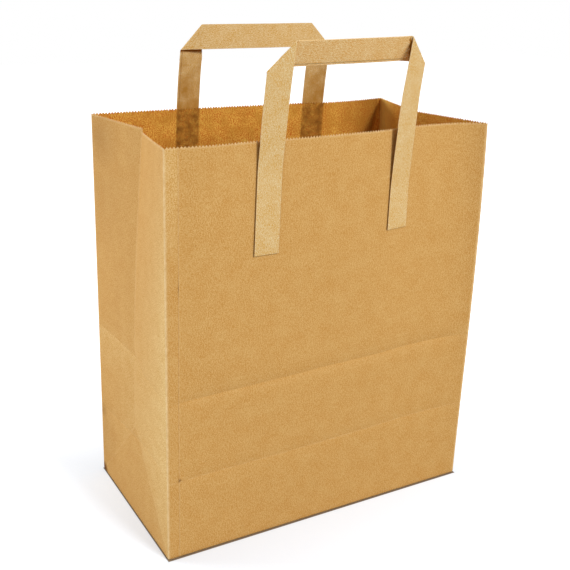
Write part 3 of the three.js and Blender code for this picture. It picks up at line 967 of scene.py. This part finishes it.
def pale_and_lit_lines(paper, from_gusset, above_triangle):
    """Pale lines along the folds, the creases, the cut mouth and the seam: worn on the creases, a painted
    highlight on the seam, both on the corner folds and the mouth, and a painted light band under the upper
    crease.
    """
    below_middle = paper.maths("SUBTRACT", HALF_DEPTH, paper.up, clamp=True)
    from_diagonal = paper.maths("MULTIPLY", above_triangle, math.sqrt(0.5))
    from_low_crease = paper.maths("SUBTRACT", paper.up, LOW_CREASE)
    on_panel = paper.maths("GREATER_THAN", from_gusset, HALF_DEPTH)
    from_mouth = paper.maths("SUBTRACT", paper.up, BAG_HEIGHT)
    return paper.most(
        paper.line_mask(paper.maths("SUBTRACT", from_gusset, HALF_DEPTH), CORNER_RUB_AND_HIGHLIGHT),
        paper.line_mask(paper.maths("ADD", from_gusset, below_middle), MIDDLE_RUB),
        paper.line_mask(from_diagonal, DIAGONAL_RUB),
        paper.line_mask(from_low_crease, LOW_CREASE_RUB),
        paper.times(paper.line_mask(from_low_crease, PANEL_CREASE_RUB), on_panel),
        paper.line_mask(paper.maths("SUBTRACT", paper.up, HIGH_CREASE), HIGH_CREASE_LIGHT_BAND),
        paper.line_mask(from_mouth, MOUTH_RUB_AND_HIGHLIGHT),
        paper.line_mask(from_mouth, UNDER_MOUTH_RUB_AND_HIGHLIGHT),
        paper.line_mask(paper.across, SEAM_HIGHLIGHT),
    )


def gusset_sheen(paper, above_triangle):
    """Painted sheen on the left gusset: strongest at its front fold and weak in the foot's triangle."""
    narrowing = paper.ramp(paper.up, *SHEEN_NARROWS)
    curve = paper.maths("MULTIPLY_ADD", narrowing, SHEEN_NARROWING, SHEEN_CURVE)
    out_of_triangle = paper.ramp(above_triangle, -TRIANGLE_BLUR, 0)
    return paper.times(
        paper.maths("POWER", paper.ramp(paper.across, BACK_LEFT, FRONT_LEFT), curve),
        paper.ramp(paper.up, *SHEEN_HEIGHT),
        paper.ramp(paper.up, *SHEEN_FOOT),
        paper.maths("LESS_THAN", paper.across, FRONT_LEFT + FOLD_RADIUS),
        paper.maths("MULTIPLY_ADD", out_of_triangle, 1 - SHEEN_IN_TRIANGLE, SHEEN_IN_TRIANGLE),
    )


def sheen_under_crease(paper, from_gusset):
    """Painted sheen on the gussets just under the upper crease."""
    under_crease = paper.maths("SUBTRACT", HIGH_CREASE, paper.up)
    return paper.times(
        paper.ramp(under_crease, CREASE_SHEEN_REACH, 0),
        paper.maths("GREATER_THAN", under_crease, 0),
        paper.maths("LESS_THAN", from_gusset, HALF_DEPTH),
        CREASE_SHEEN_STRENGTH,
    )


def seam_strip(paper):
    """The paler top of the strip between the front left fold and the seam."""
    on_strip = paper.maths("GREATER_THAN", paper.across, FRONT_LEFT)
    return paper.times(paper.ramp(paper.up, *STRIP_HEIGHT), on_strip, STRIP_STRENGTH)


def make_kraft_outside():
    """Smooth outer face: worn pale lines, painted highlights and a painted light band, painted sheen on
    the gussets, painted shade at the foot, and dark spots.
    """
    paper = Paper("kraft_outside", roughness=0.60, gloss=0.06, fineness=1.15)
    from_gusset = paper.away(paper.away(paper.across, BACK_MIDDLE), HALF_WIDTH + HALF_DEPTH)
    above_triangle = paper.maths("ADD", from_gusset, paper.maths("SUBTRACT", paper.up, HALF_DEPTH))
    # Painted sheen on the gussets, and the paler seam strip
    pale = paper.most(
        gusset_sheen(paper, above_triangle), sheen_under_crease(paper, from_gusset), seam_strip(paper),
    )
    colour = paper.blend(pale, paper.colour(OUTSIDE), paper.colour(PALE_OUTSIDE))
    # Worn pale lines, painted highlights and a painted light band along folds, creases, mouth and seam
    colour = paper.blend(pale_and_lit_lines(paper, from_gusset, above_triangle), colour, WORN_AND_LIT_LINE)
    # Dark spots by the left gusset's back fold, and a painted shadow at the seam
    colour = paper.blend(paper.most(*(paper.spot(*spot) for spot in SPOTS)), colour, DARK_MARK)
    # Painted shade along the foot of the sheet
    foot = paper.ramp(paper.maths("ABSOLUTE", paper.up), FOOT_SHADE_LINE, 0)
    colour = paper.blend(paper.times(foot, FOOT_SHADE_STRENGTH), colour, FOOT_SHADE)
    return paper.finish(colour, fuzz=0.12)


def leg_shade_through_sheet(paper):
    """Where the glued legs of both handles show through the sheet: cloudy glue, darkened by painted shade
    where the legs stop light shining through.
    """
    climbed = paper.maths("MULTIPLY_ADD", paper.up, 1 / HANDLE_LENGTH, -HANDLE_FOOT / HANDLE_LENGTH)
    legs = []
    for hang, middle, way in ((BACK_HANG, BACK_MIDDLE, -1), (FRONT_HANG, FRONT_MIDDLE, 1)):
        aside = paper.maths("MULTIPLY_ADD", climbed, way * hang.drift, middle + way * hang.offset)
        from_leg = paper.away(paper.away(paper.across, aside), LEG_SPACING / 2 * hang.spread)
        inside = paper.maths("SUBTRACT", TAPE_WIDTH / 2, from_leg)
        legs.append(paper.ramp(inside, -LEG_BLUR / 2, LEG_BLUR / 2))
    glued = paper.ramp(paper.up, LEG_GLUE_FOOT, LEG_GLUE_FOOT + LEG_BLUR)
    clouded = paper.ramp(paper.clouds(LEG_CLOUD_SIZE, detail=5), *LEG_CLOUD_RANGE)
    return paper.times(paper.most(*legs), glued, clouded)


def make_kraft_inside():
    """Rough inner face: painted warmer for light shining through the sheet, blotched, with glue and
    painted shade where the legs are glued behind, and painted light and painted shade by the back right
    corner.
    """
    paper = Paper("kraft_inside", roughness=0.80)
    blotch = paper.ramp(paper.clouds(BLOTCH_SIZE, detail=4), *BLOTCH_RANGE)
    colour = paper.blend(paper.times(blotch, BLOTCH_STRENGTH), paper.colour(INSIDE), INNER_BLOTCH)
    from_corner = paper.maths("SUBTRACT", paper.across, BACK_RIGHT)
    # Painted light on the right gusset's inside beside the back right corner, near the mouth
    painted_light_by_corner = paper.times(
        paper.ramp(from_corner, *PAINTED_LIGHT_PLACE),
        paper.ramp(paper.up, *PAINTED_LIGHT_HEIGHT),
        paper.maths("LESS_THAN", from_corner, 0),
    )
    colour = paper.blend(painted_light_by_corner, colour, INNER_PAINTED_LIGHT)
    off_corner = paper.maths("MULTIPLY_ADD", paper.up, CORNER_SHADE_SLANT, from_corner)
    shade = paper.times(
        paper.maths("POWER", paper.ramp(from_corner, CORNER_SHADE_REACH, 0), CORNER_SHADE_CURVE),
        paper.ramp(off_corner, *CORNER_SHADE_START),
        CORNER_SHADE_STRENGTH,
    )
    colour = paper.blend(shade, colour, INNER_CORNER_SHADE)
    # Glue and painted shade where the legs are glued behind the sheet
    colour = paper.blend(leg_shade_through_sheet(paper), colour, GLUE_AND_SHADE_THROUGH_SHEET)
    return paper.finish(colour, fuzz=0.5)


def make_cut_edge():
    """Torn pale fibres of the toothed cut and the free edges."""
    paper = Paper("kraft_cut_edge", roughness=0.85)
    return paper.finish(paper.colour(CUT_EDGE), fuzz=0.6)


def tape_back_clouds(paper, back, from_grip):
    """Cloudy darkening on the back of the legs, stronger towards the mouth."""
    on_leg = paper.ramp(from_grip, 0, TAPE_BACK_BLUR)
    towards_mouth = paper.maths("MULTIPLY_ADD", from_grip, 1 / HANDLE_RISE, TAPE_BACK_CLOUD_START)
    clouds = paper.clouds(TAPE_BACK_CLOUD_SIZE, detail=3)
    clouded = paper.maths("MULTIPLY_ADD", clouds, TAPE_BACK_CLOUD_SHARE, towards_mouth, clamp=True)
    return paper.times(back, on_leg, clouded)


def under_tape_fold(paper, back, on_grip):
    """Dark line across the back of each leg, close under the fold of the grip."""
    place = add(paper.tree, "ShaderNodeSeparateXYZ")
    feed(paper.tree, place.inputs[0], add(paper.tree, "ShaderNodeTexCoord").outputs["Object"])
    below_fold = paper.ramp(paper.away(place.outputs[2], UNDER_FOLD_HEIGHT), *UNDER_FOLD_REACH)
    return paper.times(below_fold, back, paper.maths("SUBTRACT", 1, on_grip))


def make_tape_paper():
    """Paler kraft of the plied tape: worn edges, darker clouds on the back of the legs, a grip painted
    lighter on its back, and painted shade at the folds and on the legs' glued sides.
    """
    paper = Paper("tape_paper", roughness=0.52, fineness=1.45, fibre_turn=ALONG_THE_TAPE)
    from_ply_middle = paper.away(paper.away(paper.up, TAPE_WIDTH), TAPE_WIDTH / 2)
    from_edge = paper.maths("SUBTRACT", from_ply_middle, TAPE_WIDTH / 2)
    back = paper.maths("GREATER_THAN", paper.up, TAPE_WIDTH)
    along = paper.maths("ABSOLUTE", paper.across)
    from_grip = paper.maths("SUBTRACT", along, LEG_SPACING / 2)
    on_grip = paper.ramp(from_grip, 0, -GRIP_BLUR)
    colour = paper.blend(tape_back_clouds(paper, back, from_grip), paper.colour(TAPE_LEG), DARK_TAPE_BACK)
    # The grip's back is painted lighter than the legs' tape for light that misses the tilted front grip
    grip = paper.blend(back, paper.colour(GRIP_FACE), paper.colour(GRIP_BACK_LIT))
    colour = paper.blend(on_grip, colour, grip)
    colour = paper.blend(paper.line_mask(from_edge, TAPE_EDGE_RUB), colour, RUBBED_TAPE)
    in_fold = paper.ramp(along, FOLD_SHADE_FROM, FOLD_SHADE_FROM + FOLD_SHADE_BLUR)
    colour = paper.blend(paper.times(in_fold, on_grip, back), colour, FOLD_SHADE)
    colour = paper.blend(under_tape_fold(paper, back, on_grip), colour, UNDER_FOLD_SHADE)
    # Painted shade on the cut sides of the legs' glued stretch
    on_side = paper.ramp(paper.maths("ABSOLUTE", from_edge), *TAPE_SIDE)
    glued = paper.ramp(from_grip, TAPE_SIDE_SHADE_FROM, TAPE_SIDE_SHADE_FROM + GRIP_BLUR)
    colour = paper.blend(paper.times(on_side, glued), colour, SHADED_TAPE_SIDE)
    from_ply_end = paper.maths("SUBTRACT", paper.up, 2 * TAPE_WIDTH - PLY_LAP)
    colour = paper.blend(paper.line_mask(from_ply_end, PLY_END_LINE), colour, PLY_END_SHADE)
    return paper.finish(colour, fuzz=0.15)


# Stage, light and camera

def set_camera():
    flat_run = math.cos(CAMERA_ELEVATION)
    back = Vector((
        math.sin(CAMERA_AZIMUTH) * flat_run,
        -math.cos(CAMERA_AZIMUTH) * flat_run,
        math.sin(CAMERA_ELEVATION),
    ))
    level_right = Vector((0, 0, 1)).cross(back).normalized()
    turned = Matrix.Rotation(CAMERA_ROLL, 3, back)
    right = turned @ level_right
    up = turned @ back.cross(level_right)
    target = Vector((0, 0, BAG_HEIGHT / 2)) + right * CAMERA_SLIDE + up * CAMERA_LIFT
    lens = bpy.data.cameras.new("photo_camera")
    lens.sensor_width = SENSOR_MM
    lens.lens = FOCAL_PIXELS * SENSOR_MM / PHOTO_SIDE
    lens.shift_x = (PHOTO_SIDE / 2 - PRINCIPAL_X) / PHOTO_SIDE
    lens.shift_y = (PRINCIPAL_Y - PHOTO_SIDE / 2) / PHOTO_SIDE
    camera = bpy.data.objects.new("photo_camera", lens)
    place = target + back * CAMERA_DISTANCE
    camera.matrix_world = Matrix.Translation(place) @ Matrix((right, up, back)).transposed().to_4x4()
    bpy.context.scene.collection.objects.link(camera)
    bpy.context.scene.camera = camera


def set_lamp(lamp):
    """Square soft lamp, turned towards the bag."""
    light = bpy.data.lights.new(lamp.name, "AREA")
    light.size = lamp.size
    light.energy = lamp.power
    lamp_object = bpy.data.objects.new(lamp.name, light)
    lamp_object.location = lamp.place
    towards_lamp = Vector(lamp.place) - Vector(LAMP_AIM)
    lamp_object.rotation_euler = towards_lamp.to_track_quat("Z", "Y").to_euler()
    bpy.context.scene.collection.objects.link(lamp_object)


def seen_directly(tree):
    """True for what the camera, a mirror or a glass sees, as against light on the object."""
    path = add(tree, "ShaderNodeLightPath")
    seen = maths(tree, "MAXIMUM", path.outputs["Is Camera Ray"], path.outputs["Is Glossy Ray"])
    return maths(tree, "MAXIMUM", seen, path.outputs["Is Transmission Ray"])


def set_world():
    """White room: a plain light on the bag, and full white where it is seen."""
    world = bpy.data.worlds.new("white_room")
    world.use_nodes = True
    bpy.context.scene.world = world
    tree = world.node_tree
    light = tree.nodes["Background"]
    light.inputs["Color"].default_value = WHITE
    light.inputs["Strength"].default_value = WORLD_LIGHT
    backdrop = add(tree, "ShaderNodeBackground")
    backdrop.inputs["Color"].default_value = WHITE
    mix = add(tree, "ShaderNodeMixShader")
    feed(tree, mix.inputs[0], seen_directly(tree))
    feed(tree, mix.inputs[1], light.outputs[0])
    feed(tree, mix.inputs[2], backdrop.outputs[0])
    feed(tree, tree.nodes["World Output"].inputs["Surface"], mix.outputs[0])


def make_white_table_paint():
    """White that keeps the bag's shadow and otherwise melts into the white backdrop; a contact shadow is
    painted at the bag's foot, and the glow is painted lower near the bag, to the left and to the front.
    """
    material = bpy.data.materials.new("white_table")
    material.use_nodes = True
    tree = material.node_tree
    table = tree.nodes["Principled BSDF"]
    table.inputs["Roughness"].default_value = TABLE_ROUGHNESS
    table.inputs["Specular IOR Level"].default_value = 0
    spot = add(tree, "ShaderNodeSeparateXYZ")
    feed(tree, spot.inputs[0], add(tree, "ShaderNodeTexCoord").outputs["Object"])
    aside = maths(tree, "SUBTRACT", maths(tree, "ABSOLUTE", spot.outputs[0]), HALF_WIDTH)
    ahead = maths(tree, "SUBTRACT", maths(tree, "ABSOLUTE", spot.outputs[1]), HALF_DEPTH)
    away = maths(tree, "MAXIMUM", aside, ahead)
    clear = ramp(tree, away, CONTACT_SHADOW / 2, CONTACT_SHADOW)
    feed(tree, table.inputs["Base Color"], blend(tree, clear, TABLE_SHADE_AT_FOOT, TABLE_WHITE))
    lit = maths(tree, "MULTIPLY_ADD", spot.outputs[0], TABLE_SHADE_FALL_ASIDE, TABLE_GLOW)
    lit = maths(tree, "MULTIPLY_ADD", spot.outputs[1], TABLE_SHADE_FALL_BACK, lit)
    whitened = maths(tree, "MULTIPLY_ADD", away, (1 - TABLE_GLOW) / TABLE_WHITE_AT, lit, clamp=True)
    brightness = maths(tree, "MULTIPLY", clear, whitened)
    shine = add(tree, "ShaderNodeEmission")
    feed(tree, shine.inputs["Strength"], maths(tree, "MULTIPLY", seen_directly(tree), brightness))
    both = add(tree, "ShaderNodeAddShader")
    feed(tree, both.inputs[0], table.outputs[0])
    feed(tree, both.inputs[1], shine.outputs[0])
    feed(tree, tree.nodes["Material Output"].inputs["Surface"], both.outputs[0])
    return material


def make_table():
    bm = bmesh.new()
    bmesh.ops.create_grid(bm, x_segments=1, y_segments=1, size=TABLE_SIZE / 2)
    bmesh.ops.translate(bm, verts=bm.verts, vec=(0, 0, TABLE_LEVEL))
    mesh = bpy.data.meshes.new("white_table")
    bm.to_mesh(mesh)
    bm.free()
    placed("white_table", mesh, [make_white_table_paint()])


# Making the bag and its stage

kraft_fibre = make_kraft_fibre()
broken_line = make_broken_line()
tape_paper = make_tape_paper()

sheet = make_bag_sheet([make_kraft_outside(), make_kraft_inside(), make_cut_edge()])
front_handle = make_handle(
    "front_tape", -1, FRONT_HANG, front_panel_y,
    lean_from(BAG_HEIGHT - LEFT_GLUE_TOP_BELOW_RIM, FRONT_LEAN),
    lean_from(BAG_HEIGHT - RIGHT_GLUE_TOP_BELOW_RIM, FRONT_LEAN), tape_paper,
)
back_handle = make_handle(
    "back_tape", 1, BACK_HANG, back_panel_y,
    lean_from(BAG_HEIGHT, -BACK_LEAN), lean_from(BAG_HEIGHT, -BACK_LEAN), tape_paper,
)

for piece, node, slot in (
    (sheet, "bag_body", "kraft_paper"),
    (front_handle, "front_handle", "tape_paper"),
    (back_handle, "back_handle", "tape_paper"),
):
    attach(piece, "root")
    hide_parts(node)

set_camera()
set_world()
make_table()
for lamp in LAMPS:
    set_lamp(lamp)
bpy.context.scene.view_settings.view_transform = "Standard"
